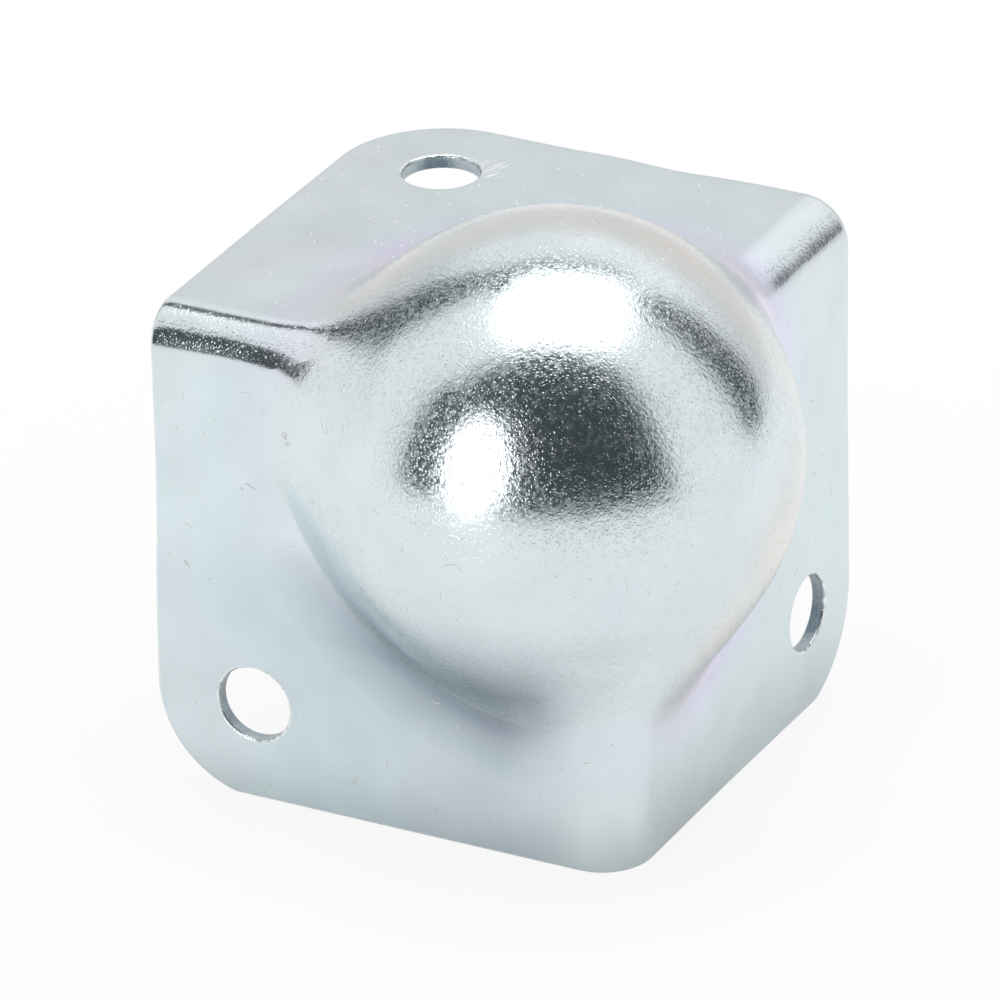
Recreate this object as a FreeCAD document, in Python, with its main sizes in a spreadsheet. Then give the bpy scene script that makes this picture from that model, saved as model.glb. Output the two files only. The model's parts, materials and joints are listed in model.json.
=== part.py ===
import FreeCAD, Part

import math
import os

import Sketcher
from FreeCAD import Placement, Rotation, Vector

# Flight case corner: one piece of sheet steel, pressed into three flanges that meet square, with
# a round ball in the place of their common corner. Lengths are millimetres, angles are degrees.
#
# Frame: the origin is the corner point of the case that the part is screwed to, where the three
# inner faces would meet. The top flange looks to +Z, the front flange to -Y and the side flange
# to +X. The folds run away from the ball along -X, +Y and -Z.


# Driving dimensions
# Places are measured from the sharp outer corner, where the three outer faces would meet.

SIZES = {
    "sheet_thickness": 1.0,
    "leg_left": 36.0,
    "leg_back": 35.9,
    "leg_foot": 36.2,
    "fold_top_front": 2.8,
    "fold_top_side": 3.3,
    "fold_upright": 3.7,
    "ball_radius": 17.2,
    "ball_depth": 10.0,
    "ball_blend": 4.5,
    "hole_diameter": 5.5,
    "edge_roll": 0.2,
    "trimmed_margin": 3.0,
}

# Each flange has two directions of its own, a and b, that lead away from the corner along its
# folds, each to the end of a leg. edge_a ends direction a and edge_b ends direction b. An edge
# starts square at the fold, bends slightly at bend_at, where it lies bend_out past the leg's end,
# and runs on to the round corner, which reaches corner_out past the leg's end. It meets the round
# at meets_at (0 is a smooth meeting). The hole's centre lies hole_from_a and hole_from_b short of
# the ends of the legs.

FLANGE_SIZES = {
    "top": {
        "corner_radius": 7.85,
        "hole_from_a": 7.75,
        "hole_from_b": 7.35,
        "edge_a_bend_at": 16.0,
        "edge_a_bend_out": 0.05,
        "edge_a_corner_out": 0.0,
        "edge_a_meets_at": 0.0,
        "edge_b_bend_at": 13.5,
        "edge_b_bend_out": -0.2,
        "edge_b_corner_out": 0.15,
        "edge_b_meets_at": 0.0,
    },
    "side": {
        "corner_radius": 7.65,
        "hole_from_a": 7.35,
        "hole_from_b": 7.4,
        "edge_a_bend_at": 12.0,
        "edge_a_bend_out": -0.4,
        "edge_a_corner_out": -0.5,
        "edge_a_meets_at": 0.0,
        "edge_b_bend_at": 14.0,
        "edge_b_bend_out": -0.05,
        "edge_b_corner_out": 0.35,
        "edge_b_meets_at": 15.0,
    },
    "front": {
        "corner_radius": 7.9,
        "hole_from_a": 7.45,
        "hole_from_b": 7.15,
        "edge_a_bend_at": 14.0,
        "edge_a_bend_out": -0.05,
        "edge_a_corner_out": 0.1,
        "edge_a_meets_at": 15.0,
        "edge_b_bend_at": 16.0,
        "edge_b_bend_out": 0.1,
        "edge_b_corner_out": 0.5,
        "edge_b_meets_at": 0.0,
    },
}

# The three ways away from the corner, and what each flange takes from them: its directions a
# and b, the origin plane that it lies along, the leg that ends each direction, and the fold that
# stands square to it. The direction a cross b is the way into the case.

LEFT = Vector(-1, 0, 0)
BACK = Vector(0, 1, 0)
DOWN = Vector(0, 0, -1)

FLANGES = {
    "top": (LEFT, BACK, "XY_Plane", "leg_left", "leg_back", "fold_upright"),
    "side": (BACK, DOWN, "YZ_Plane", "leg_back", "leg_foot", "fold_top_front"),
    "front": (DOWN, LEFT, "XZ_Plane", "leg_foot", "leg_left", "fold_top_side"),
}

# The ball is turned so that its seam meets the flanges away from the folds.
BALL_SEAM_TURN = 135

# The square corner is cut out of the block over this share of the ball's depth, so that it
# never stands out of the ball.
HIDDEN_CORNER_SHARE = 0.5

# A point this near to a surface lies on it, and two faces that meet at less than this angle
# are smooth with each other.
ON_SURFACE = 1e-3
SMOOTH_ANGLE = math.radians(30)

NODE = "corner_shell"


def make_sheet():
    """The spreadsheet that holds every driving dimension, one alias to a row."""
    rows = dict(SIZES)
    for flange, sizes in FLANGE_SIZES.items():
        rows.update({f"{flange}_{name}": value for name, value in sizes.items()})
    sheet = document.addObject("Spreadsheet::Sheet", "Sizes")
    for row, (alias, value) in enumerate(rows.items(), start=1):
        sheet.set(f"A{row}", alias)
        sheet.set(f"B{row}", str(value))
        sheet.setAlias(f"B{row}", alias)
    document.recompute()
    return sheet


def size(alias):
    """The text that names one cell of the sheet inside an expression."""
    return f"Sizes.{alias}"


def largest(aliases):
    """The text of the largest of several cells."""
    return "max(" + "; ".join(size(alias) for alias in aliases) + ")"


def number(text):
    """What an expression of the sheet's cells comes to, as a plain number."""
    value = sheet.evalExpression(text)
    return getattr(value, "Value", value)


# The block reaches past the longest leg, and every trim reaches past the block.
LONGEST_LEG = largest(["leg_left", "leg_back", "leg_foot"])
WIDEST_FOLD = largest(["fold_top_front", "fold_top_side", "fold_upright"])


def bind(feature, **expressions):
    """Bind properties of a feature to expressions, then bring it up to date."""
    for name, text in expressions.items():
        feature.setExpression(name, text)
    document.recompute()


def flange_sketch(body, label, flange, outset):
    """An empty sketch on a face of a flange, drawn in the flange's a and b.

    Its origin is the sharp corner of the three faces that lie `outset` outside the case, and
    its normal looks into the case.
    """
    along_a, along_b, role = FLANGES[flange][:3]
    plane = next(item for item in body.Origin.OriginFeatures if item.Role == role)
    sketch = body.newObject("Sketcher::SketchObject", label)
    sketch.AttachmentSupport = [(plane, "")]
    sketch.MapMode = "FlatFace"
    turned = Placement(Vector(), Rotation(along_a, along_b, along_a.cross(along_b), "XYZ"))
    into_plane = plane.Placement.inverse()
    sketch.AttachmentOffset = into_plane.multiply(turned)
    outward = into_plane.Rotation.multVec(Vector(1, -1, 1))
    for axis, sign in zip("xyz", outward):
        sketch.setExpression(f"AttachmentOffset.Base.{axis}", f"{round(sign)} * ({outset})")
    document.recompute()
    return sketch


def hold(sketch, geometry, point, a=None, b=None):
    """Hold a point of a sketch at the distances a and b from its origin."""
    for kind, text in (("DistanceX", a), ("DistanceY", b)):
        if text is None:
            continue
        sign = -1 if number(text) < 0 else 1
        ends = (-1, 1, geometry, point) if sign > 0 else (geometry, point, -1, 1)
        held = sketch.addConstraint(Sketcher.Constraint(kind, *ends, sign * number(text)))
        sketch.setExpression(f"Constraints[{held}]", f"{sign} * ({text})")


def draw_loop(sketch, points, arc=None):
    """A closed loop of lines through points that are pairs of expressions.

    With arc = (side, centre, radius), the side that starts at that point is an arc, drawn
    anticlockwise. Its start is then held by its b alone and its end by its a alone.
    """
    side, centre, radius = arc or (None, None, None)
    places = [Vector(number(a), number(b), 0) for a, b in points]
    drawn = []
    for index, start in enumerate(places):
        end = places[(index + 1) % len(places)]
        if index == side:
            middle = Vector(number(centre[0]), number(centre[1]), 0)
            angles = [math.atan2(place.y - middle.y, place.x - middle.x) for place in (start, end)]
            circle = Part.Circle(middle, Vector(0, 0, 1), number(radius))
            shape = Part.ArcOfCircle(circle, *angles)
        else:
            shape = Part.LineSegment(start, end)
        drawn.append(sketch.addGeometry(shape))
    for index, geometry in enumerate(drawn):
        sketch.addConstraint(Sketcher.Constraint("Coincident", drawn[index - 1], 2, geometry, 1))
        a, b = points[index]
        if index == side:
            hold(sketch, geometry, 1, b=b)
            hold(sketch, geometry, 3, *centre)
            held = sketch.addConstraint(Sketcher.Constraint("Radius", geometry, number(radius)))
            sketch.setExpression(f"Constraints[{held}]", radius)
        elif side is not None and index == side + 1:
            hold(sketch, geometry, 1, a=a)
        else:
            hold(sketch, geometry, 1, a=a, b=b)


def draw_circle(sketch, centre, diameter):
    """A circle whose centre is a pair of expressions."""
    middle = Vector(number(centre[0]), number(centre[1]), 0)
    circle = sketch.addGeometry(Part.Circle(middle, Vector(0, 0, 1), number(diameter) / 2))
    hold(sketch, circle, 3, *centre)
    held = sketch.addConstraint(Sketcher.Constraint("Diameter", circle, number(diameter)))
    sketch.setExpression(f"Constraints[{held}]", diameter)


def cut_away(body, label, sketch, length=None):
    """Pocket a sketch's loop into the body, to a length or right through, and make sure it cuts."""
    before = body.Shape.Volume
    cut = body.newObject("PartDesign::Pocket", label)
    cut.Profile = sketch
    cut.Reversed = True
    if length is None:
        cut.Type = "ThroughAll"
        document.recompute()
    else:
        bind(cut, Length=length)
    if not body.Shape.Volume < before:
        raise RuntimeError(f"{label} cuts nothing")
    return cut


def fold_cut(body, label, flange, outset, radius):
    """Round the block's edge that stands square to a flange, by cutting away its corner."""
    sketch = flange_sketch(body, f"{label}_profile", flange, outset)
    past = f"-{size('trimmed_margin')}"
    points = [("0", radius), (radius, "0"), (radius, past), (past, past), (past, radius)]
    draw_loop(sketch, points, arc=(0, (radius, radius), radius))
    cut_away(body, label, sketch)


def ball_foot_edges(ball, centre, radius):
    """Names of the edges along which the ball leaves the flanges and the folds."""
    names = []
    for index, edge in enumerate(ball.Shape.Edges, start=1):
        if edge.Degenerated:
            continue
        first, last = edge.ParameterRange
        points = [edge.valueAt(first + (last - first) * step / 4) for step in range(5)]
        on_ball = all(abs(point.distanceToPoint(centre) - radius) < ON_SURFACE for point in points)
        kinds = {face.Surface.TypeId for face in ball.Shape.ancestorsOfType(edge, Part.Face)}
        if on_ball and len(kinds) > 1:
            names.append(f"Edge{index}")
    return names


def pressed_form(label, inset):
    """The solid that one skin of the sheet wraps: a block with round folds and the ball.

    The inset is how far the skin lies inside the sheet's outer skin.
    """
    body = document.addObject("PartDesign::Body", label)
    outset = f"{size('sheet_thickness')} - ({inset})"
    reach = f"{LONGEST_LEG} + {size('trimmed_margin')} + ({inset})"

    block = body.newObject("PartDesign::AdditiveBox", f"{label}_block")
    corner = {"Placement.Base.x": f"{outset} - ({reach})", "Placement.Base.y": f"-({outset})"}
    corner["Placement.Base.z"] = f"{outset} - ({reach})"
    bind(block, Length=reach, Width=reach, Height=reach, **corner)

    for flange, values in FLANGES.items():
        fold = values[-1]
        fold_cut(body, f"{label}_{fold}", flange, outset, f"{size(fold)} - ({inset})")

    hollow = body.newObject("PartDesign::SubtractiveBox", f"{label}_under_ball")
    side = f"{size('ball_depth')} * {HIDDEN_CORNER_SHARE}"
    start = {"Placement.Base.x": f"{outset} - {side}", "Placement.Base.y": f"-({outset})"}
    start["Placement.Base.z"] = f"{outset} - {side}"
    bind(hollow, Length=side, Width=side, Height=side, **start)

    ball = body.newObject("PartDesign::AdditiveSphere", f"{label}_ball")
    ball.Placement.Rotation = Rotation(Vector(0, 0, 1), BALL_SEAM_TURN)
    behind = f"{size('ball_depth')} - {size('sheet_thickness')}"
    centre = {"Placement.Base.x": f"-({behind})", "Placement.Base.y": behind}
    centre["Placement.Base.z"] = f"-({behind})"
    bind(ball, Radius=f"{size('ball_radius')} - ({inset})", **centre)

    blend = body.newObject("PartDesign::Fillet", f"{label}_blend")
    blend.Base = (ball, ball_foot_edges(ball, ball.Placement.Base, ball.Radius.Value))
    bind(blend, Radius=f"{size('ball_blend')} + ({inset})")
    return body


def trim_flange(body, flange):
    """Trim a flange to its outline: two edges and the round corner between them."""
    leg_a, leg_b = (size(leg) for leg in FLANGES[flange][3:5])
    own = {name: size(f"{flange}_{name}") for name in FLANGE_SIZES[flange]}
    radius = own["corner_radius"]
    centre_a = f"({leg_a} + {own['edge_a_corner_out']} - {radius})"
    centre_b = f"({leg_b} + {own['edge_b_corner_out']} - {radius})"
    angle_a = f"({own['edge_a_meets_at']} * 1deg)"
    angle_b = f"({own['edge_b_meets_at']} * 1deg)"
    fold_reach = f"{WIDEST_FOLD} + {size('sheet_thickness')}"
    past = f"-{size('trimmed_margin')}"
    beyond = f"{LONGEST_LEG} + 2 * {size('trimmed_margin')}"
    waste = [
        (leg_a, past),
        (leg_a, fold_reach),
        (f"{leg_a} + {own['edge_a_bend_out']}", own["edge_a_bend_at"]),
        (f"{centre_a} + {radius} * cos{angle_a}", f"{centre_b} + {radius} * sin{angle_a}"),
        (f"{centre_a} + {radius} * sin{angle_b}", f"{centre_b} + {radius} * cos{angle_b}"),
        (own["edge_b_bend_at"], f"{leg_b} + {own['edge_b_bend_out']}"),
        (fold_reach, leg_b),
        (past, leg_b),
        (past, beyond),
        (beyond, beyond),
        (beyond, past),
    ]
    sketch = flange_sketch(body, f"{flange}_outline", flange, size("sheet_thickness"))
    draw_loop(sketch, waste, arc=(3, (centre_a, centre_b), radius))
    cut_away(body, f"{flange}_trimmed", sketch, length=fold_reach)


def punch_hole(body, flange):
    """Punch the flange's round hole through the sheet."""
    sketch = flange_sketch(body, f"{flange}_hole_circle", flange, size("sheet_thickness"))
    leg_a, leg_b = (size(leg) for leg in FLANGES[flange][3:5])
    centre_a = f"{leg_a} - {size(f'{flange}_hole_from_a')}"
    centre_b = f"{leg_b} - {size(f'{flange}_hole_from_b')}"
    draw_circle(sketch, (centre_a, centre_b), size("hole_diameter"))
    return cut_away(body, f"{flange}_hole", sketch, length=f"2 * {size('sheet_thickness')}")


def outer_rim_edges(shape, outer_skin):
    """Names of the sharp edges where the sheet's cut walls meet its outer skin."""
    names = []
    for index, edge in enumerate(shape.Edges, start=1):
        first, last = edge.ParameterRange
        middle = edge.valueAt((first + last) / 2)
        if outer_skin.distToShape(Part.Vertex(middle))[0] > ON_SURFACE:
            continue
        normals = []
        for face in shape.ancestorsOfType(edge, Part.Face):
            normals.append(face.normalAt(*face.Surface.parameter(middle)))
        if len(normals) == 2 and normals[0].getAngle(normals[1]) > SMOOTH_ANGLE:
            names.append(f"Edge{index}")
    return names


def make_corner():
    """The finished piece: the pressed sheet, trimmed, punched and with its outer edges rolled."""
    outer = pressed_form("outer_form", "0")
    inner = pressed_form("inner_form", size("sheet_thickness"))
    pressed = document.addObject("Part::Cut", "pressed_sheet")
    pressed.Base = outer
    pressed.Tool = inner
    document.recompute()

    body = document.addObject("PartDesign::Body", NODE)
    body.BaseFeature = pressed
    document.recompute()
    for flange in FLANGES:
        trim_flange(body, flange)
        punched = punch_hole(body, flange)
    rolled = body.newObject("PartDesign::Fillet", "rolled_edges")
    rolled.Base = (punched, outer_rim_edges(punched.Shape, outer.Shape.Shells[0]))
    bind(rolled, Radius=size("edge_roll"))
    body.Label = NODE
    return body


def check(body):
    """Stop unless every object is up to date and the part is one valid solid."""
    failed = [item.Label for item in document.Objects if {"Invalid", "Error"} & set(item.State)]
    if failed:
        raise RuntimeError("These objects failed: " + ", ".join(failed))
    shape = body.Shape
    if shape.isNull() or not shape.isValid() or len(shape.Solids) != 1:
        raise RuntimeError(f"{body.Label} isn't one valid solid")


document = FreeCAD.newDocument("FlightCaseCorner")
sheet = make_sheet()
corner = make_corner()
check(corner)
os.makedirs("parts", exist_ok=True)
corner.Shape.exportStep(f"parts/{corner.Label}.step")
print(corner.Label, "volume", round(corner.Shape.Volume, 1), "mm3, box", corner.Shape.BoundBox)
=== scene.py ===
"""Flight case corner: bright zinc plated sheet steel, pressed, in a plain studio."""

import json
import math
from typing import NamedTuple

import bpy
import numpy as np
from mathutils import Matrix, Vector


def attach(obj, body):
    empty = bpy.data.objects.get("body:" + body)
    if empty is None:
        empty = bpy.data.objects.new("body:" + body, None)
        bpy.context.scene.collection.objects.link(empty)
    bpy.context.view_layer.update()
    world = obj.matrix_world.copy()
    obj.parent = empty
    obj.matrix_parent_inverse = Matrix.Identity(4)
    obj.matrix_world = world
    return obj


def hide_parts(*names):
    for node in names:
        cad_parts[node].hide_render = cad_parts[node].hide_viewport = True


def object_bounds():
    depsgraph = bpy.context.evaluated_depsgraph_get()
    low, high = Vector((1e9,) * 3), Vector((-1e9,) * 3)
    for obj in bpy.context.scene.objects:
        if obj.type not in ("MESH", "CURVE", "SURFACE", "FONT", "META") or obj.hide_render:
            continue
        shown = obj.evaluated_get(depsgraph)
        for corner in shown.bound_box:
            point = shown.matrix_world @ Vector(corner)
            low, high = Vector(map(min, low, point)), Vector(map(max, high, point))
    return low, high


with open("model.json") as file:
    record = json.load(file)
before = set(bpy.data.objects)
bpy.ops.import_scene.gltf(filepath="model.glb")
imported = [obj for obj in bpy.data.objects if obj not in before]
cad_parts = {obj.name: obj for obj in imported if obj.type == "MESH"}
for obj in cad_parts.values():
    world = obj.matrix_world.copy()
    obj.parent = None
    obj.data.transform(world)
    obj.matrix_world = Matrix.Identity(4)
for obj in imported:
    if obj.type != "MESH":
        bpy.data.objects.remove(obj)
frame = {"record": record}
cad_low, cad_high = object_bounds()

# The piece is worked out in millimetres and scaled to metres when its mesh is made.
MM = 0.001

# Places on the sheet are distances from the sharp outer corner, where the three outer faces
# would meet, along three ways: to the left (-X), to the back (+Y) and down (-Z).
LEFT, BACK, DOWN = 0, 1, 2

SHEET = 1.0
LEG = (36.0, 35.9, 36.2)
FOLD_RADIUS = (2.8, 3.3, 3.7)
BALL_RADIUS = 17.199
BALL_DEPTH = 10.0

# The ball and the folded block melt into each other where their surfaces are nearer than this,
# seen from the ball's centre.
MELT = 3.3

# Two folds grow rounder towards the ball, over this range of their length.
FOLD_GROWTH = (3.7, 0.0, 2.3)
GROWTH_FROM = 27.5
GROWTH_TO = 14.0

# How much of the ball's grain each fold shows.
FOLD_GRAIN = (1.1, 0.6, 0.45)

# Under the ball the folds run out into a plain square corner, which doesn't show.
FOLD_FADES_FROM = 4.0
FOLD_FADES_TO = 8.0

# Sheared edges: the press rolls the outer rim over, and leaves a small bevel inside. The rings of
# points down the straight wall are at these depths.
EDGE_ROLL = 0.2
EDGE_BREAK = 0.05
ROLL_STEPS = 4
WALL_DEPTHS = (0.4, 0.55, 0.7, 0.83)

# The grid of the skin: an inner square up to INNER_REACH, and the rest of each leg.
INNER_REACH = 20.4
INNER_STEPS = 60
LEG_STEPS = 42
HOLE_RINGS = 17
OUTLINE_SAMPLES = 80

# Points of neighbouring patches that are nearer than this are one point.
WELD = 1e-5


class Flare(NamedTuple):
    """The ball's wall leans out where it runs onto a fold, by so much at the most.

    It spreads to both sides of a line that lies the given distance aside of the fold, and it
    sets in between two distances from the ball's centre along the fold.
    """

    most: float
    spread: float
    aside: float
    start: float
    end: float


FLARES = {
    LEFT: Flare(2.9, 21.7, 3.8, 5.7, 19.0),
    DOWN: Flare(2.4, 20.0, 0.0, 5.5, 17.0),
}


class Flange(NamedTuple):
    """One of the three flanges.

    It spreads along the ways a and b. Edge a ends way a, and edge b ends way b. Each edge is a
    list of places along it and how far it stands out past the leg there, up to the round corner.
    """

    name: str
    a: int
    b: int
    edge_a: list
    edge_b: list
    corner_radius: float
    corner_out_a: float
    corner_out_b: float
    corner_from: float
    corner_to: float


TOP = Flange(
    name="top",
    a=LEFT,
    b=BACK,
    edge_a=[(0, 0), (4.5, 0), (16, 0.05)],
    edge_b=[
        (0, 0),
        (3, 0.05),
        (6, 0.12),
        (9.5, 0.02),
        (13.2, -0.22),
        (15.5, -0.08),
        (18, 0.1),
        (21, 0.02),
    ],
    corner_radius=7.85,
    corner_out_a=0.0,
    corner_out_b=0.13,
    corner_from=0,
    corner_to=0,
)
SIDE = Flange(
    name="side",
    a=BACK,
    b=DOWN,
    edge_a=[(0, 0), (4.6, -0.14), (9, -0.25), (13, -0.4), (20, -0.42)],
    edge_b=[(0, 0), (4.6, 0), (14, -0.05)],
    corner_radius=7.65,
    corner_out_a=-0.5,
    corner_out_b=0.35,
    corner_from=0,
    corner_to=15,
)
FRONT = Flange(
    name="front",
    a=DOWN,
    b=LEFT,
    edge_a=[(0, 0), (5, 0), (14, -0.05)],
    edge_b=[(0, 0), (14, 0.05), (17, 0.14), (19.6, 0.28), (24, 0.4)],
    corner_radius=7.9,
    corner_out_a=0.1,
    corner_out_b=0.46,
    corner_from=15,
    corner_to=0,
)
FLANGES = (TOP, SIDE, FRONT)


def smooth_step(share):
    """0 below 0, 1 above 1, and a soft rise between."""
    share = np.clip(share, 0, 1)
    return share * share * (3 - 2 * share)


def from_corner(point):
    """Distances from the sharp outer corner of a point of the part's frame, in millimetres."""
    x, y, z = (value / MM for value in point)
    return np.array([SHEET - x, y + SHEET, SHEET - z])


def to_part(places):
    """Places along the three ways as points of the part's frame, in millimetres."""
    left, back, down = np.moveaxis(places, -1, 0)
    return np.stack([SHEET - left, back - SHEET, SHEET - down], axis=-1)


def soft_curve(knots, at):
    """A smooth curve through knots, at the given places."""
    places, values = np.array(knots, float).T
    slopes = np.gradient(values, places)
    index = np.clip(np.searchsorted(places, at) - 1, 0, len(places) - 2)
    width = places[index + 1] - places[index]
    t = np.clip((at - places[index]) / width, 0, 1)
    rise = values[index + 1] - values[index]
    start, end = slopes[index] * width, slopes[index + 1] * width
    bend = 3 * rise - 2 * start - end
    turn_back = start + end - 2 * rise
    return values[index] + t * start + t * t * bend + t**3 * turn_back


def corner_centre(flange):
    """The centre of a flange's round corner."""
    return (
        LEG[flange.a] + flange.corner_out_a - flange.corner_radius,
        LEG[flange.b] + flange.corner_out_b - flange.corner_radius,
    )


def corner_point(flange, angle):
    """Points of the round corner, from 0 degrees at edge a to 90 at edge b."""
    centre_a, centre_b = corner_centre(flange)
    radius, turn = flange.corner_radius, np.radians(angle)
    return centre_a + radius * np.cos(turn), centre_b + radius * np.sin(turn)


def edge_a_at(flange, b):
    """How far the flange reaches along a, at places b."""
    end_a, end_b = corner_point(flange, flange.corner_from)
    return LEG[flange.a] + soft_curve(flange.edge_a + [(end_b, end_a - LEG[flange.a])], b)


def edge_b_at(flange, a):
    """How far the flange reaches along b, at places a."""
    end_a, end_b = corner_point(flange, 90 - flange.corner_to)
    return LEG[flange.b] + soft_curve(flange.edge_b + [(end_a, end_b - LEG[flange.b])], a)


def folded(flange, a, b):
    """Places a, b of a flange's sharp face, moved onto the block with its round folds.

    Also gives how grainy the fold is at each place, 0 on the flat.
    """
    places = np.zeros(np.shape(a) + (3,))
    places[..., flange.a] = a
    places[..., flange.b] = b
    across = 3 - flange.a - flange.b
    crest = np.zeros(np.shape(a))
    for along, way, value, distance in ((flange.a, flange.b, b, a), (flange.b, flange.a, a, b)):
        near_ball = smooth_step((GROWTH_FROM - distance) / (GROWTH_FROM - GROWTH_TO))
        radius = FOLD_RADIUS[along] + FOLD_GROWTH[along] * near_ball
        share = np.clip(1 - value / radius, 0, 1)
        turn = share * math.pi / 4
        weight = smooth_step((distance - FOLD_FADES_FROM) / (FOLD_FADES_TO - FOLD_FADES_FROM))
        moved = np.where(share > 0, radius * (1 - np.sin(turn)), value)
        places[..., way] += weight * (moved - value)
        places[..., across] += weight * radius * (1 - np.cos(turn))
        crest = np.maximum(crest, share * weight * FOLD_GRAIN[along])
    return places, crest


def wall_radius(arm):
    """How far the ball's wall is from its centre, towards the given places."""
    flared = np.zeros(arm.shape[:-1])
    for way, flare in FLARES.items():
        one_side, other_side = arm[..., way - 2], arm[..., way - 1]
        aside = one_side - other_side + flare.aside
        out = (arm[..., way] - flare.start) / (flare.end - flare.start)
        share = smooth_step(1 - np.abs(aside) / flare.spread) * smooth_step(out)
        flared = np.maximum(flared, flare.most * share)
    return BALL_RADIUS + flared


def skin(flange, a, b):
    """The outer skin over places a, b of a flange's sharp face, as rows of five numbers.

    They are the point of the part's frame, the height over the ball's own surface at the
    ball's foot, and how grainy a fold is. The skin is whatever stands out further, the block or
    the ball, with a soft change from one to the other.
    """
    block, crest = folded(flange, a, b)
    arm = block - BALL_DEPTH
    reach = np.linalg.norm(arm, axis=-1)
    radius = wall_radius(arm)
    foot = reach - radius
    under_ball = np.maximum(a, b) < FOLD_FADES_TO
    melt = np.clip(1 - np.abs(foot) / MELT, 0, 1)
    grown = np.maximum(reach, radius) + melt**3 * MELT / 6
    grown = np.where(under_ball, BALL_RADIUS, grown)
    point = to_part(BALL_DEPTH + arm * (grown / reach)[..., None])
    foot = np.where(under_ball, -MELT, foot)
    return np.concatenate([point, foot[..., None], crest[..., None]], axis=-1)


def even_steps(line, steps):
    """A line of points, set again at even steps along its length."""
    lengths = np.concatenate([[0], np.cumsum(np.linalg.norm(np.diff(line, axis=0), axis=1))])
    at = np.linspace(0, lengths[-1], steps + 1)
    return np.stack([np.interp(at, lengths, line[:, k]) for k in range(2)], axis=1)


def rounded_end(flange):
    """The flange's outer outline round its hole, inset by the rolled rim."""
    arc_from, arc_to = flange.corner_from, 90 - flange.corner_to
    b = np.linspace(INNER_REACH, corner_point(flange, arc_from)[1], OUTLINE_SAMPLES)
    a = np.linspace(corner_point(flange, arc_to)[0], INNER_REACH, OUTLINE_SAMPLES)
    arc = corner_point(flange, np.linspace(arc_from, arc_to, OUTLINE_SAMPLES))
    line = np.concatenate(
        [
            np.stack([edge_a_at(flange, b), b], axis=1),
            np.stack(arc, axis=1)[1:-1],
            np.stack([a, edge_b_at(flange, a)], axis=1),
        ]
    )
    line = even_steps(line, 2 * LEG_STEPS)
    tangent = np.gradient(line, axis=0)
    tangent /= np.linalg.norm(tangent, axis=1)[:, None]
    inset = line + EDGE_ROLL * np.stack([-tangent[:, 1], tangent[:, 0]], axis=1)
    inset[0] = (edge_a_at(flange, INNER_REACH) - EDGE_ROLL, INNER_REACH)
    inset[-1] = (INNER_REACH, edge_b_at(flange, INNER_REACH) - EDGE_ROLL)
    return inset


def flange_patches(flange, hole, hole_radius):
    """The grids of places that cover a flange: a square, two legs and a ring round the hole."""
    lines = np.linspace(0, INNER_REACH, INNER_STEPS + 1)
    share = np.linspace(0, 1, LEG_STEPS + 1)
    square = np.meshgrid(lines, lines, indexing="ij")

    past_a = edge_a_at(flange, lines) - EDGE_ROLL - INNER_REACH
    leg_a = (INNER_REACH + np.outer(share, past_a), np.tile(lines, (LEG_STEPS + 1, 1)))
    past_b = edge_b_at(flange, lines) - EDGE_ROLL - INNER_REACH
    leg_b = (np.tile(lines[:, None], LEG_STEPS + 1), INNER_REACH + np.outer(past_b, share))

    outside = rounded_end(flange)
    first = np.stack([leg_a[0][:, -1], leg_a[1][:, -1]], axis=1)
    last = np.stack([leg_b[0][-1], leg_b[1][-1]], axis=1)[::-1]
    around = np.concatenate([first[:-1], outside[:-1], last])
    spokes = around - hole
    rim = hole + spokes / np.linalg.norm(spokes, axis=1)[:, None] * (hole_radius + EDGE_ROLL)
    inward = np.linspace(0, 1, HOLE_RINGS + 1)[:, None, None]
    ring = (1 - inward) * around + inward * rim
    return [square, leg_a, leg_b, (ring[..., 0], ring[..., 1])]


def grid_faces(rows, columns, first):
    """Faces of a grid of points that are numbered from first on."""
    numbers = first + np.arange(rows * columns).reshape(rows, columns)
    corners = [numbers[:-1, :-1], numbers[:-1, 1:], numbers[1:, 1:], numbers[1:, :-1]]
    return np.stack(corners, axis=-1).reshape(-1, 4)


def outer_skin(holes, hole_radius):
    """The whole outer skin: rows of point, foot and crest, and its faces, seen from outside."""
    rows, faces, count = [], [], 0
    for flange in FLANGES:
        hole = np.array([holes[flange.name][flange.a], holes[flange.name][flange.b]])
        patches = flange_patches(flange, hole, hole_radius)
        for index, (a, b) in enumerate(patches):
            patch = grid_faces(*a.shape, count)
            ring_turns_the_other_way = index == 3
            faces.append(patch[:, ::-1] if ring_turns_the_other_way else patch)
            rows.append(skin(flange, a, b).reshape(-1, 5))
            count += a.size
    rows, faces = np.concatenate(rows), np.concatenate(faces)
    spots = np.round(rows[:, :3] / WELD)
    _, kept, numbers = np.unique(spots, axis=0, return_index=True, return_inverse=True)
    return rows[kept], numbers.reshape(-1)[faces]


def point_normals(points, faces):
    """Unit normals at the points of a mesh of quads."""
    p = points[faces]
    across = np.cross(p[:, 2] - p[:, 0], p[:, 3] - p[:, 1])
    normals = np.zeros_like(points)
    for corner in range(4):
        np.add.at(normals, faces[:, corner], across)
    return normals / np.linalg.norm(normals, axis=1)[:, None]


def open_loops(faces):
    """The loops of free edges, each as point numbers in the order that their faces run."""
    starts = faces.reshape(-1)
    ends = np.roll(faces, -1, axis=1).reshape(-1)
    size = faces.max() + 1
    free = ~np.isin(starts * size + ends, ends * size + starts)
    following = dict(zip(starts[free].tolist(), ends[free].tolist()))
    loops = []
    while following:
        start, number = following.popitem()
        loop = [start]
        while number != start:
            loop.append(number)
            number = following.pop(number)
        loops.append(np.array(loop))
    return loops


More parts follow.
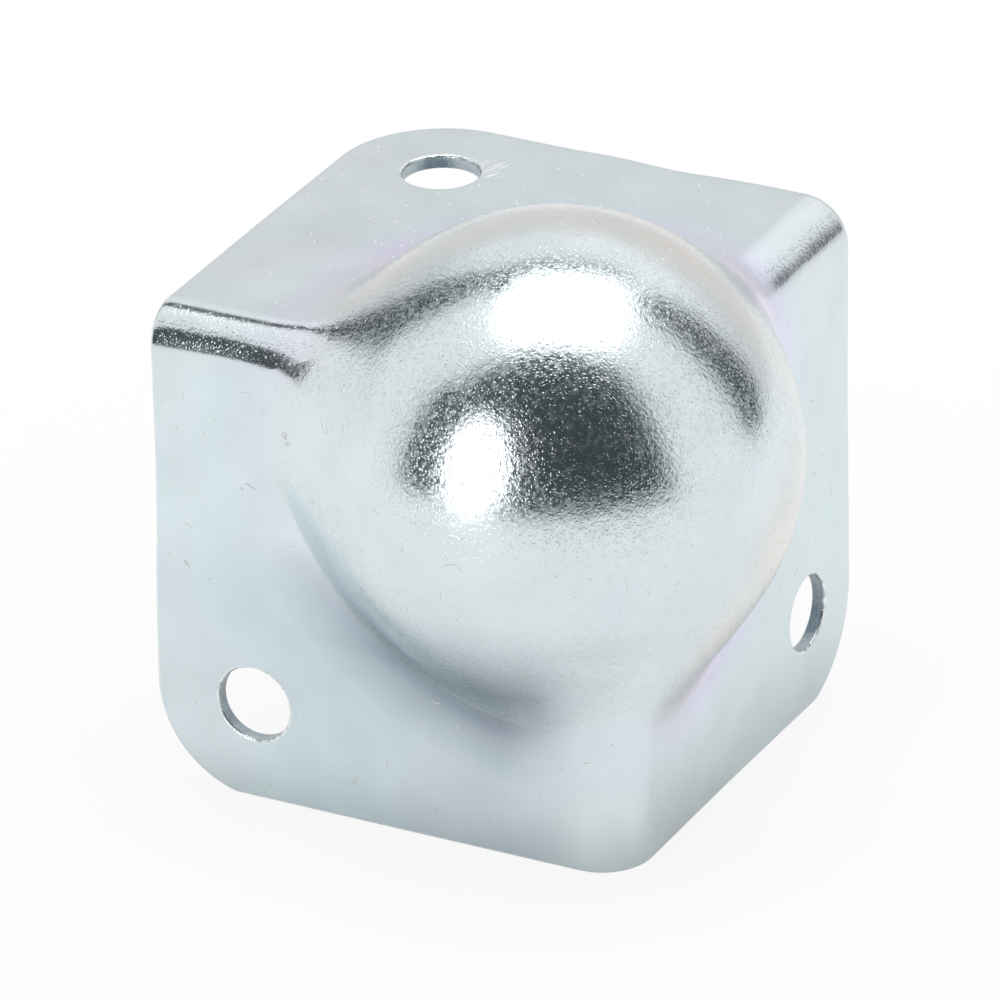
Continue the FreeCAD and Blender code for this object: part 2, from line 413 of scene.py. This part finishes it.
def rim_profile():
    """The sheared wall from the outer skin to the inner one: out past the skin, and down."""
    turns = [math.radians(90 * step / ROLL_STEPS) for step in range(1, ROLL_STEPS + 1)]
    roll = [(EDGE_ROLL * math.sin(turn), EDGE_ROLL * (1 - math.cos(turn))) for turn in turns]
    wall = [(EDGE_ROLL, depth) for depth in (*WALL_DEPTHS, SHEET - EDGE_BREAK)]
    return roll + wall + [(EDGE_ROLL - EDGE_BREAK, SHEET)]


# The numbers of the materials, and what the mesh holds at each point.
PLATE, EDGE, HOLE_WALL = 0, 1, 2
MARKS = ("foot", "crest", "depth")


def with_depth(marks, depth):
    """Rows of marks with how deep they are in the sheet, from 0 outside to 1 inside."""
    return np.hstack([marks, np.full((len(marks), 1), depth)])


def band(above, below):
    """The ring of faces between two loops of points."""
    return np.stack([np.roll(above, -1), above, below, np.roll(below, -1)], axis=1)


def sheet_mesh(holes, hole_radius):
    """Points, their marks, faces, and the material of each face."""
    rows, faces = outer_skin(holes, hole_radius)
    points, marks = rows[:, :3], rows[:, 3:]
    normals = point_normals(points, faces)
    size = len(points)
    all_points = [points, points - SHEET * normals]
    all_marks = [with_depth(marks, 0), with_depth(marks, 1)]
    all_faces = [faces, faces[:, ::-1] + size]
    kinds = [np.full(2 * len(faces), PLATE)]
    count = 2 * size
    loops = open_loops(faces)
    outline = max(map(len, loops))
    for loop in loops:
        run = points[np.roll(loop, -1)] - points[np.roll(loop, 1)]
        out = np.cross(run, normals[loop])
        out /= np.linalg.norm(out, axis=1)[:, None]
        above = loop
        for past, down in rim_profile():
            ring = points[loop] + past * out - down * normals[loop]
            numbers = count + np.arange(len(loop))
            count += len(loop)
            all_points.append(ring)
            all_marks.append(with_depth(marks[loop], down / SHEET))
            all_faces.append(band(above, numbers))
            above = numbers
        all_faces.append(band(above, loop + size))
        kind = EDGE if len(loop) == outline else HOLE_WALL
        kinds.append(np.full(len(loop) * (len(rim_profile()) + 1), kind))
    return tuple(np.concatenate(part) for part in (all_points, all_marks, all_faces, kinds))


def make_mesh(name, points, faces):
    """A Blender mesh of quads, shaded smooth."""
    mesh = bpy.data.meshes.new(name)
    mesh.from_pydata((points * MM).tolist(), [], faces.tolist())
    mesh.polygons.foreach_set("use_smooth", np.ones(len(faces), bool))
    mesh.validate()
    return mesh


def add_object(name, data):
    """A new object in the scene."""
    made = bpy.data.objects.new(name, data)
    bpy.context.scene.collection.objects.link(made)
    return made


class Nodes:
    """A short way to write a node tree."""

    def __init__(self, tree):
        self.tree = tree
        tree.nodes.clear()

    def put(self, value, socket):
        """Gives a socket a value, or the output of another node."""
        if isinstance(value, bpy.types.NodeSocket):
            self.tree.links.new(value, socket)
        else:
            socket.default_value = value

    def add(self, kind, settings=None, **inputs):
        """A node, with its inputs by name, or by number as i0, i1 and so on."""
        node = self.tree.nodes.new(kind)
        for name, value in (settings or {}).items():
            setattr(node, name, value)
        for name, value in inputs.items():
            key = int(name[1:]) if name[1:].isdigit() else name.replace("_", " ")
            self.put(value, node.inputs[key])
        return node

    def maths(self, operation, *values):
        """The output of a Math node."""
        inputs = {f"i{number}": value for number, value in enumerate(values)}
        return self.add("ShaderNodeMath", {"operation": operation}, **inputs).outputs[0]

    def product(self, first, *others):
        """Numbers, multiplied."""
        for other in others:
            first = self.maths("MULTIPLY", first, other)
        return first

    def along(self, place, axis):
        """How far a place is along X, Y or Z."""
        return self.add("ShaderNodeSeparateXYZ", Vector=place).outputs[axis]

    def length(self, vector):
        """The length of a vector."""
        return self.add("ShaderNodeVectorMath", {"operation": "LENGTH"}, i0=vector).outputs["Value"]

    def noise(self, place, scale, detail=0.0):
        """The strength of a Noise Texture, about 0.5 on the whole."""
        inputs = {"Vector": place, "Scale": scale, "Detail": detail}
        return self.add("ShaderNodeTexNoise", **inputs).outputs["Fac"]

    def swing(self, place, noise, width):
        """A noise that swings about 0, as far as half the width to each side."""
        return self.maths("MULTIPLY_ADD", self.noise(place, *noise), width, -width / 2)

    def rescale(self, value, low, high, to_low=0.0, to_high=1.0, kind="LINEAR"):
        """A value between low and high, set between two others and held there."""
        settings = {"clamp": True, "interpolation_type": kind}
        inputs = {"Value": value, "i1": low, "i2": high, "i3": to_low, "i4": to_high}
        return self.add("ShaderNodeMapRange", settings, **inputs).outputs[0]

    def mark(self, name):
        """A number that the mesh holds at each point."""
        return self.add("ShaderNodeAttribute", {"attribute_name": name}).outputs["Fac"]

    def mix(self, share, first, second, blend="MIX"):
        """The colour output of a Mix node, whose inputs 6 and 7 are its colours."""
        node = self.tree.nodes.new("ShaderNodeMix")
        node.data_type = "RGBA"
        node.blend_type = blend
        for number, value in ((0, share), (6, first), (7, second)):
            self.put(value, node.inputs[number])
        return node.outputs[2]

    def multiply_colours(self, first, second):
        """Two colours, multiplied."""
        return self.mix(1.0, first, second, "MULTIPLY")

    def scale_colour(self, colour, factor):
        """A colour times a number."""
        return self.multiply_colours(colour, (factor, factor, factor, 1))

    def ramp(self, value, stops):
        """The colour output of a ramp through (place, colour) stops."""
        node = self.add("ShaderNodeValToRGB", Fac=value)
        elements = node.color_ramp.elements
        while len(elements) < len(stops):
            elements.new(0.5)
        for element, (place, colour) in zip(elements, stops):
            element.position = place
            element.color = (*colour, 1)
        return node.outputs["Color"]


def new_material(name):
    """An empty material and its nodes."""
    material = bpy.data.materials.new(name)
    material.use_nodes = True
    return material, Nodes(material.node_tree)


# The noises of the finish, each with its scale per metre and its detail.
BASE_CLOUDS = (55, 2)
FINE_CLOUDS = (240, 3)
TINT_WANDER = (130, 2)
TINT_FRINGE = (700, 3)
TINT_PATCHES = (95, 1)
CREAM_PATCHES = (120, 1)
# The next noise moves the edges of the painted shade round the ball's foot.
SHADE_WANDER = (200, 2)
GRAIN = (3900, 3)
GRAIN_PATCHES = (120, 0)
COARSE_GRAIN = (1500, 1)
SHARP_BUMPS = (7500, 0)
FLAT_WAVES = (110, 0)
HAZE_SPOTS = (2400, 2)
HAIR_LINES = (430, 1)
HAIR_PATCHES = (780, 0)
CUT_STREAKS = (2500, 2)
CUT_GRAIN = (6000, 3)

# How wide the heights of the colours wander, in millimetres.
TINT_WIDTH = 2.4
FRINGE_WIDTH = 1.0
# The heights of the painted shade round the ball's foot wander this wide.
SHADE_WIDTH = 0.5

PLAIN = (1, 1, 1, 1)

# The clear passivation shines in faint colours round the ball's foot, where the drops ran off.
# Each colour is at a height over the ball's own surface, in millimetres.
TINTS = (
    (-2.5, (1.0, 1.0, 1.0)),
    (-1.2, (1.07, 1.0, 1.01)),
    (0.0, (1.1, 0.98, 1.13)),
    (1.0, (1.06, 0.94, 1.12)),
    (2.2, (1.04, 0.97, 1.1)),
    (3.4, (0.98, 0.99, 1.04)),
    (5.0, (1.0, 1.0, 1.0)),
)

# Painted shade: low down on the front, the hollow round the ball's foot and a spot on the ball's
# underside are darkened. This stands in for the dark reflection of the shadowed floor near the
# part. These colours, too, are at heights over the ball's own surface.
PAINTED_HOLLOW_SHADE = (
    (-9.0, (1.0, 1.0, 1.0)),
    (-6.5, (0.86, 0.88, 0.9)),
    (-4.0, (0.8, 0.83, 0.85)),
    (-3.2, (0.86, 0.88, 0.9)),
    (-2.4, (0.95, 0.96, 0.97)),
    (-1.6, (0.88, 0.91, 0.93)),
    (-1.0, (0.63, 0.67, 0.69)),
    (-0.6, (0.46, 0.51, 0.54)),
    (0.2, (0.41, 0.46, 0.49)),
    (0.9, (0.47, 0.52, 0.55)),
    (1.5, (0.57, 0.61, 0.63)),
    (2.6, (0.67, 0.71, 0.73)),
    (4.5, (0.83, 0.86, 0.88)),
    (8.0, (0.88, 0.91, 0.93)),
    (14.0, (0.96, 0.98, 0.985)),
)
PAINTED_SPOT_SHADE = (
    (-9.0, (1.0, 1.0, 1.0)),
    (-6.0, (0.72, 0.74, 0.76)),
    (-4.2, (0.6, 0.63, 0.65)),
    (-3.2, (0.59, 0.62, 0.64)),
    (-2.0, (0.81, 0.83, 0.85)),
    (-0.8, (1.0, 1.0, 1.0)),
)

# Where each of these colours begins to grow along one axis, and where it is whole. The last is
# for the look of the top.
TINTED_BACK = (4 * MM, 12 * MM)
CREAM_BACK = (1 * MM, 6 * MM)
# The next four bound the painted shade round the ball's foot: low on the front, in the hollow, and
# on a spot of the ball's underside.
SHADE_FRONT = (2 * MM, 0)
SHADE_LOW = (-14 * MM, -21.5 * MM)
HOLLOW_LEFT = (-2.5 * MM, -8.5 * MM)
SPOT_LEFT = (-1 * MM, -5 * MM)
SPOT_RIGHT = (-15 * MM, -9 * MM)
TOP_UP = (-3.5 * MM, -1 * MM)


def by_height(nodes, height, colours):
    """The colour at a height over the ball's own surface.

    A ramp cuts off colours over 1, so it holds half of each, and they are doubled after it.
    """
    low, high = colours[0][0], colours[-1][0]
    halves = [((at - low) / (high - low), [part / 2 for part in colour]) for at, colour in colours]
    return nodes.scale_colour(nodes.ramp(nodes.rescale(height, low, high), halves), 2.0)


def painted_foot_shade(nodes, place, foot):
    """Painted shade in the hollow round the ball's foot and on a spot above it, for the shadowed
    floor that they reflect.
    """
    height = nodes.maths("ADD", foot, nodes.swing(place, SHADE_WANDER, SHADE_WIDTH))
    left = nodes.along(place, "X")
    low = nodes.rescale(nodes.along(place, "Z"), *SHADE_LOW)
    low = nodes.product(low, nodes.rescale(nodes.along(place, "Y"), *SHADE_FRONT))
    in_hollow = nodes.product(low, nodes.rescale(left, *HOLLOW_LEFT))
    in_spot = nodes.product(low, nodes.rescale(left, *SPOT_RIGHT), nodes.rescale(left, *SPOT_LEFT))
    hollow = nodes.mix(in_hollow, PLAIN, by_height(nodes, height, PAINTED_HOLLOW_SHADE))
    spot = nodes.mix(in_spot, PLAIN, by_height(nodes, height, PAINTED_SPOT_SHADE))
    return nodes.multiply_colours(hollow, spot)


def foot_tint(nodes, place, foot):
    """The colours of the passivation, stronger round the top and side of the ball."""
    wander = nodes.swing(place, TINT_WANDER, TINT_WIDTH)
    fringe = nodes.swing(place, TINT_FRINGE, FRINGE_WIDTH)
    height = nodes.maths("ADD", foot, nodes.maths("ADD", wander, fringe))
    share = nodes.rescale(nodes.along(place, "Y"), *TINTED_BACK, 0.3, 1.0)
    patch = nodes.rescale(nodes.noise(place, *TINT_PATCHES), 0.35, 0.6, 0.55, 1.0)
    return nodes.mix(nodes.product(share, patch), PLAIN, by_height(nodes, height, TINTS))


CREAM = (1.09, 0.985, 0.925, 1)


def glancing_tint(nodes, place, on_ball):
    """The cream that the passivation takes on where the ball turns away from the eye."""
    facing = nodes.add("ShaderNodeLayerWeight", Blend=0.5).outputs["Facing"]
    turned_away = nodes.rescale(facing, 0.45, 0.64)
    behind = nodes.rescale(nodes.along(place, "Y"), *CREAM_BACK)
    patch = nodes.rescale(nodes.noise(place, *CREAM_PATCHES), 0.4, 0.6, 0.35, 1.0)
    return nodes.mix(nodes.product(turned_away, on_ball, behind, patch), PLAIN, CREAM)


# How much each part of the surface stands out, in millimetres. The grain grows from the least to
# the most in patches.
LEAST_GRAIN = 0.014
MOST_GRAIN = 0.023
COARSE_HEIGHT = 0.012
BUMP_HEIGHT = 0.05
WAVE_HEIGHT = 0.3

# Bumps stand where their noise is over this, and a flat sheet keeps this share of the grain.
BUMPS_OVER = 0.62
FLAT_GRAIN_SHARE = 0.06


def surface_height(nodes, place, stretched):
    """How far the surface stands out, in millimetres.

    It has a grain and small steep bumps where the press stretched it, and a slow wave where
    it is flat.
    """
    fine = nodes.rescale(nodes.noise(place, *GRAIN_PATCHES), 0.35, 0.65, LEAST_GRAIN, MOST_GRAIN)
    grain = nodes.product(nodes.noise(place, *GRAIN), fine)
    grain = nodes.maths("MULTIPLY_ADD", nodes.noise(place, *COARSE_GRAIN), COARSE_HEIGHT, grain)
    bumps = nodes.maths("SUBTRACT", nodes.noise(place, *SHARP_BUMPS), BUMPS_OVER)
    grain = nodes.maths("MULTIPLY_ADD", nodes.maths("MAXIMUM", bumps, 0), BUMP_HEIGHT, grain)
    grain = nodes.product(grain, nodes.rescale(stretched, 0, 1, FLAT_GRAIN_SHARE, 1.0))
    wave = nodes.product(nodes.noise(place, *FLAT_WAVES), WAVE_HEIGHT)
    return nodes.maths("MULTIPLY_ADD", wave, nodes.maths("SUBTRACT", 1, stretched), grain)


# The specks, with how many there are to a metre and how wide they are, in millimetres.
LIGHT_SPECKS = (1050, 0.2)
DARK_SPECKS = (520, 0.2)
DARK_SPECK_STRENGTH = 0.8


def specks(nodes, place, scale, size):
    """Scattered round specks, up to the given size in millimetres."""
    distance = nodes.add("ShaderNodeTexVoronoi", Vector=place, Scale=scale).outputs["Distance"]
    radius = size / 2 * MM * scale
    return nodes.rescale(distance, radius, radius * 0.5)


def hairs(nodes, place):
    """Fine short curved lines."""
    off_line = nodes.maths("SUBTRACT", nodes.noise(place, *HAIR_LINES), 0.5)
    line = nodes.rescale(nodes.maths("ABSOLUTE", off_line), 0.009, 0.003)
    return nodes.product(line, nodes.rescale(nodes.noise(place, *HAIR_PATCHES), 0.71, 0.75))


# The scratches beside the top hole: their middle, how far they spread, the way they run, and the
# scales of the noise along and across them.
SCRATCHED = Vector((-24.3, 29.4, 1.0)) * MM
SCRATCHED_REACH = 1.7 * MM
SCRATCHES_RUN = (0, 0, math.radians(73))
SCRATCH_SCALES = (260, 8000, 260)


def scratches(nodes, place):
    """Fine straight scratches beside the top hole."""
    placing = {"Vector": place, "Location": SCRATCHED, "Rotation": SCRATCHES_RUN}
    turned = nodes.add("ShaderNodeMapping", {"vector_type": "TEXTURE"}, **placing).outputs[0]
    settings = {"operation": "MULTIPLY"}
    drawn = nodes.add("ShaderNodeVectorMath", settings, i0=turned, i1=SCRATCH_SCALES).outputs[0]
    line = nodes.rescale(nodes.noise(drawn, 1), 0.57, 0.64)
    near = nodes.rescale(nodes.length(turned), SCRATCHED_REACH, SCRATCHED_REACH * 0.6)
    return nodes.product(line, near)


def bright_wear(nodes, place, on_top):
    """Light specks and scratches on the top."""
    flecks = nodes.product(specks(nodes, place, *LIGHT_SPECKS), on_top)
    return nodes.maths("MAXIMUM", flecks, scratches(nodes, place))


def dark_wear(nodes, place, on_top):
    """Dark specks and hairs below the top."""
    dirt = nodes.product(specks(nodes, place, *DARK_SPECKS), DARK_SPECK_STRENGTH)
    dirt = nodes.maths("MAXIMUM", dirt, hairs(nodes, place))
    return nodes.product(dirt, nodes.maths("SUBTRACT", 1, on_top))


def finish_material(nodes, colour, height, rough):
    """A bare metal surface, with its height in millimetres."""
    bump = nodes.add("ShaderNodeBump", Height=height, Strength=1.0, Distance=MM).outputs["Normal"]
    looks = {"Base_Color": colour, "Metallic": 1.0, "Roughness": rough, "Normal": bump}
    surface = nodes.add("ShaderNodeBsdfPrincipled", **looks).outputs["BSDF"]
    nodes.add("ShaderNodeOutputMaterial", Surface=surface)


# The zinc's own colours, how rough it is on the flats and where it is bright, and how much
# rougher the spots of haze on the ball and the light wear are.
ZINC_COLOURS = [(0.3, (0.7, 0.805, 0.83)), (0.7, (0.725, 0.785, 0.815))]
TOP_TINT = (0.975, 0.955, 0.955, 1)
LIGHT_WEAR = (1, 1, 1, 1)
DARK_WEAR = (0.57, 0.57, 0.56, 1)
FLAT_ROUGH = 0.25
BRIGHT_ROUGH = 0.16
HAZE_ROUGH = 0.14
WEAR_ROUGH = 0.35

# The ball's own finish grows from none to full between these heights at its foot. A fold is
# fully bright from this much of its grain on.
ON_BALL = (1.2, -1.2)
BRIGHT_CREST = 0.3


def zinc_material():
    """Bright zinc: satin where the sheet is flat, grainy where the press stretched it."""
    material, nodes = new_material("zinc_plate")
    place = nodes.add("ShaderNodeTexCoord").outputs["Object"]
    on_top = nodes.rescale(nodes.along(place, "Z"), *TOP_UP)
    foot = nodes.mark("foot")
    on_ball = nodes.rescale(foot, *ON_BALL)
    crest = nodes.mark("crest")
    stretched = nodes.maths("MAXIMUM", on_ball, nodes.maths("MINIMUM", crest, 1))
    bright = nodes.maths("MAXIMUM", on_ball, nodes.rescale(crest, 0, BRIGHT_CREST))

    colour = nodes.ramp(nodes.noise(place, *BASE_CLOUDS), ZINC_COLOURS)
    for tint in (
        nodes.mix(on_top, PLAIN, TOP_TINT),
        nodes.rescale(nodes.noise(place, *FINE_CLOUDS), 0.3, 0.7, 0.965, 1.035),
        foot_tint(nodes, place, foot),
        # Painted shade round the ball's foot, standing in for the shadowed floor that it reflects.
        painted_foot_shade(nodes, place, foot),
        glancing_tint(nodes, place, on_ball),
    ):
        colour = nodes.multiply_colours(colour, tint)
    light = bright_wear(nodes, place, on_top)
    colour = nodes.mix(light, colour, LIGHT_WEAR)
    colour = nodes.mix(dark_wear(nodes, place, on_top), colour, DARK_WEAR)

    haze = nodes.rescale(nodes.noise(place, *HAZE_SPOTS), 0.42, 0.7, 0, HAZE_ROUGH)
    rough = nodes.rescale(bright, 0, 1, FLAT_ROUGH, BRIGHT_ROUGH)
    rough = nodes.maths("ADD", rough, nodes.product(on_ball, haze))
    rough = nodes.maths("MULTIPLY_ADD", light, WEAR_ROUGH, rough)
    finish_material(nodes, colour, surface_height(nodes, place, stretched), rough)
    return material


# The sheared walls: their colours from the outside of the sheet to the inside, how far these
# wander, how deep their grain is in millimetres, and how rough they are.
EDGE_COLOURS = [(0.3, (0.78, 0.84, 0.86)), (1.0, (0.66, 0.72, 0.75))]
HOLE_COLOURS = [(0.42, (0.88, 0.92, 0.93)), (0.54, (0.52, 0.58, 0.61)), (1.0, (0.4, 0.46, 0.5))]
STREAKS_WANDER = 0.8
CUT_HEIGHT = 0.04
CUT_ROUGH = 0.3


def cut_material(name, colours):
    """A sheared wall, with its colours from the outside of the sheet to the inside."""
    material, nodes = new_material(name)
    place = nodes.add("ShaderNodeTexCoord").outputs["Object"]
    streaks = nodes.noise(place, *CUT_STREAKS)
    depth = nodes.maths("MULTIPLY_ADD", streaks, STREAKS_WANDER, nodes.mark("depth"))
    height = nodes.product(nodes.noise(place, *CUT_GRAIN), CUT_HEIGHT)
    finish_material(nodes, nodes.ramp(depth, colours), height, CUT_ROUGH)
    return material


# Edges of the mesh that turn by more than this are sharp.
SHARP_FROM = math.radians(40)


def dress_corner():
    """The pressed corner, in place of the plain one of the frame."""
    mounts = {mount["name"]: mount for mount in frame["record"]["mounts"]}
    holes = {flange.name: from_corner(mounts[f"{flange.name}_hole"]["pos_m"]) for flange in FLANGES}
    hole_radius = mounts["top_hole"]["dims"]["r_mm"]
    points, marks, faces, kinds = sheet_mesh(holes, hole_radius)
    mesh = make_mesh("corner_skin", points, faces)
    for name, column in zip(MARKS, marks.T):
        attribute = mesh.attributes.new(name, "FLOAT", "POINT")
        attribute.data.foreach_set("value", column.astype(np.float32))
    mesh.materials.append(zinc_material())
    mesh.materials.append(cut_material("zinc_cut_edge", EDGE_COLOURS))
    mesh.materials.append(cut_material("zinc_hole_wall", HOLE_COLOURS))
    mesh.polygons.foreach_set("material_index", kinds.astype(np.int32))
    mesh.set_sharp_from_angle(angle=SHARP_FROM)
    corner = add_object("corner_skin", mesh)
    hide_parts("corner_shell")
    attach(corner, "root")


# The camera, fitted to the photograph.
CAMERA_AZIMUTH = math.radians(27.88)
CAMERA_ELEVATION = math.radians(26.57)
CAMERA_ROLL = math.radians(-1.49)
CAMERA_DISTANCE = 746.2 * MM
CAMERA_AIM = Vector((-14.876, 11.716, -14.997)) * MM
CAMERA_LENS = 387.86
SENSOR = 36
CAMERA_CLIPS = (0.01, 50)


def add_camera():
    """A long lens, so that the part's edges stay nearly parallel."""
    swing, tip = CAMERA_AZIMUTH, CAMERA_ELEVATION
    flat = math.cos(tip)
    back = Vector((math.sin(swing) * flat, -math.cos(swing) * flat, math.sin(tip)))
    right = Vector((math.cos(swing), math.sin(swing), 0))
    turned = Matrix((right, back.cross(right), back)).transposed()
    turned @= Matrix.Rotation(CAMERA_ROLL, 3, "Z")
    data = bpy.data.cameras.new("camera")
    data.lens = CAMERA_LENS
    data.sensor_width = SENSOR
    data.clip_start, data.clip_end = CAMERA_CLIPS
    camera = add_object("camera", data)
    camera.matrix_world = Matrix.Translation(CAMERA_AIM + CAMERA_DISTANCE * back) @ turned.to_4x4()
    bpy.context.scene.camera = camera


# How strongly each part of the studio glows. What is dark is faintly blue-green.
DARK = 0.065
DARK_COLOUR = (0.8, 1.0, 1.0, 1)
BACK_WALL = 0.8
BRIGHT_WALL = 1.12
WINDOW = 4.0
OVERHEAD_LIGHT = 3.5


def glow_material(name, strength):
    """A plain even glow, white unless it is dark."""
    material, nodes = new_material(name)
    colour = DARK_COLOUR if strength == DARK else PLAIN
    glow = nodes.add("ShaderNodeEmission", Color=colour, Strength=strength).outputs[0]
    nodes.add("ShaderNodeOutputMaterial", Surface=glow)
    return material


BALL_CENTRE = Vector(to_part(np.full(3, BALL_DEPTH))) * MM


def add_panel(name, places, faces, strength):
    """A studio panel that lights the part and shows in its reflections only."""
    mesh = bpy.data.meshes.new(name)
    mesh.from_pydata(places, [], faces)
    mesh.materials.append(glow_material(name, strength))
    panel = add_object(name, mesh)
    panel.visible_camera = False


def standing_panel(name, columns, distance, strength):
    """A panel that stands round the part, as columns of (azimuth, lowest and highest elevation).

    They are in degrees from the ball's centre. Azimuth 0 is straight behind the part, as the
    camera sees it, and it goes up to the right.
    """
    places = []
    for azimuth, *elevations in columns:
        turn = CAMERA_AZIMUTH - math.radians(azimuth)
        for elevation in map(math.radians, elevations):
            flat = distance * math.cos(elevation)
            up = distance * math.sin(elevation)
            way = Vector((-math.sin(turn) * flat, math.cos(turn) * flat, up))
            places.append(BALL_CENTRE + way)
    faces = [(2 * k, 2 * k + 2, 2 * k + 3, 2 * k + 1) for k in range(len(columns) - 1)]
    add_panel(name, places, faces, strength)


# How high the light hangs over the ball's centre, in metres.
OVERHEAD = 0.7


def overhead_panel(name, places, strength, lower=0.0):
    """A level panel over the part, hung at OVERHEAD or a little lower.

    Its corners are in shares of its height, to the camera's right and away from the camera.
    """
    forward = Vector((-math.sin(CAMERA_AZIMUTH), math.cos(CAMERA_AZIMUTH), 0))
    aside = Vector((math.cos(CAMERA_AZIMUTH), math.sin(CAMERA_AZIMUTH), 0))
    height = OVERHEAD - lower
    middle = BALL_CENTRE + Vector((0, 0, height))
    corners = [middle + (aside * x + forward * y) * height for x, y in places]
    add_panel(name, corners, [tuple(range(len(corners)))], strength)


# The standing panels, as columns of (azimuth, lowest and highest elevation).
DARK_ROOM = (
    (-104, -2, 37), (-112, -2, 43), (-120, -2, 53), (-135, -2, 66), (-150, -2, 71),
    (-180, -2, 74), (-200, -2, 72), (-215, -2, 66), (-233, -2, 56),
)
WINDOW_FRAME = (
    (-155, 10, 22), (-152, 4.5, 30.5), (-148.5, 1.5, 34), (-145, -1.5, 36), (-141.5, -3, 37),
    (-137, -2, 36.5), (-133.5, 0.2, 34), (-130.5, 5, 29.5), (-128.5, 10, 18),
)
WALL_BEHIND = ((-50, -1.6, 29), (0, -1.6, 29), (32, -1.6, 29), (46, -1.6, 22), (60, -1.6, 12))
WALL_ASIDE = ((8, 30, 42), (20, 31, 44), (34, 31, 44), (44, 29, 42), (52, 24, 36), (58, 16, 22))
LEFT_GAP = (
    (-59, -2, 35), (-56, -2, 46), (-52, -2, 51), (-47, -2, 54), (-42, -2, 56), (-38, 34, 56),
    (-31, 50, 57),
)
RIGHT_GAP = (
    (52, 48, 53), (57, 36, 54), (60, 24, 54.5), (61, 12, 54.5), (61.5, 3, 54.5), (65, 2, 54),
    (67, -2, 53), (75, -2, 48), (79, -2, 37), (82, 2, 26),
)

# The corners of the overhead panels.
LIGHT_OVERHEAD = (
    (-0.37, -0.09), (-0.24, -0.2), (0.37, -0.2), (0.5, -0.09), (0.51, 0.28),
    (0.39, 0.47), (-0.17, 0.44), (-0.3, 0.3), (-0.38, 0.16),
)
FAR_GAP = ((-0.4, 0.56), (0.5, 0.56), (0.5, 0.72), (-0.4, 0.72))
NEAR_GAP = ((-0.43, 0.35), (-0.31, 0.35), (-0.23, 0.46), (-0.2, 0.63), (-0.43, 0.63))


def add_studio():
    """White all round, dark behind the camera, with a window, two gaps and a light overhead."""
    world = bpy.data.worlds.new("studio")
    bpy.context.scene.world = world
    world.use_nodes = True
    background = world.node_tree.nodes["Background"]
    background.inputs["Color"].default_value = PLAIN
    background.inputs["Strength"].default_value = 1

    for name, columns, distance, strength in (
        ("dark_room", DARK_ROOM, 0.7, DARK),
        ("window", WINDOW_FRAME, 0.28, WINDOW),
        ("left_gap", LEFT_GAP, 0.8, DARK),
        ("right_gap", RIGHT_GAP, 0.8, DARK),
        ("back_wall", WALL_BEHIND, 0.9, BACK_WALL),
        ("bright_wall", WALL_ASIDE, 0.95, BRIGHT_WALL),
    ):
        standing_panel(name, columns, distance, strength)
    overhead_panel("overhead_light", LIGHT_OVERHEAD, OVERHEAD_LIGHT)
    overhead_panel("far_gap", FAR_GAP, DARK, lower=0.02)
    overhead_panel("near_gap", NEAR_GAP, DARK, lower=0.01)


FLOOR = cad_low.z
FLOOR_HALF = 4
FLOOR_WHITE = (0.8, 0.8, 0.8, 1)

# A share of the floor's look is a plain white glow, and the rest is its lit paint. At the part's
# walls the share is SEEN_GLOW where the floor is seen straight, and MIRRORED_GLOW in reflections.
# Both grow to 1 at FULL_GLOW_AT, the second by way of NEAR_GLOW at NEAR_GLOW_AT.
SEEN_GLOW = 0.88
MIRRORED_GLOW = 0.28
NEAR_GLOW = 0.78
NEAR_GLOW_AT = 9 * MM
FULL_GLOW_AT = 60 * MM


def past_part(nodes):
    """How far a place of the floor is outside the walls of the part."""
    place = nodes.add("ShaderNodeTexCoord").outputs["Object"]
    past = []
    for axis, low, high in (("X", cad_low.x, SHEET * MM), ("Y", -SHEET * MM, cad_high.y)):
        at = nodes.along(place, axis)
        below = nodes.maths("SUBTRACT", low, at)
        above = nodes.maths("SUBTRACT", at, high)
        past.append(nodes.maths("MAXIMUM", nodes.maths("MAXIMUM", below, above), 0))
    corner = nodes.add("ShaderNodeCombineXYZ", X=past[0], Y=past[1]).outputs[0]
    return nodes.length(corner)


def floor_glow(nodes):
    """The share of the floor's look that is a plain white glow."""
    distance = past_part(nodes)
    seen = nodes.rescale(distance, 0, FULL_GLOW_AT, SEEN_GLOW, 1)
    near = nodes.rescale(distance, 0, NEAR_GLOW_AT, MIRRORED_GLOW, NEAR_GLOW, "SMOOTHSTEP")
    far = nodes.rescale(distance, NEAR_GLOW_AT, FULL_GLOW_AT, 0, 1 - NEAR_GLOW)
    reflected = nodes.maths("ADD", near, far)
    ray = nodes.add("ShaderNodeLightPath")
    glossy, through = ray.outputs["Is Glossy Ray"], ray.outputs["Is Transmission Ray"]
    mirrored = nodes.product(reflected, nodes.maths("MAXIMUM", glossy, through))
    return nodes.maths("MAXIMUM", nodes.product(seen, ray.outputs["Is Camera Ray"]), mirrored)


def add_floor():
    """A plain white floor that keeps the part's shadow, softened where it is seen."""
    mesh = bpy.data.meshes.new("floor")
    signs = ((-1, -1), (1, -1), (1, 1), (-1, 1))
    corners = [(x * FLOOR_HALF, y * FLOOR_HALF, FLOOR) for x, y in signs]
    mesh.from_pydata(corners, [], [(0, 1, 2, 3)])
    material, nodes = new_material("white_floor")
    paint = nodes.add("ShaderNodeBsdfDiffuse", Color=FLOOR_WHITE).outputs[0]
    white = nodes.add("ShaderNodeEmission", Color=PLAIN, Strength=1).outputs[0]
    mixed = nodes.add("ShaderNodeMixShader", Fac=floor_glow(nodes), i1=paint, i2=white).outputs[0]
    nodes.add("ShaderNodeOutputMaterial", Surface=mixed)
    mesh.materials.append(material)
    floor = add_object("floor", mesh)


dress_corner()
add_camera()
add_studio()
add_floor()
bpy.context.scene.view_settings.view_transform = "Standard"
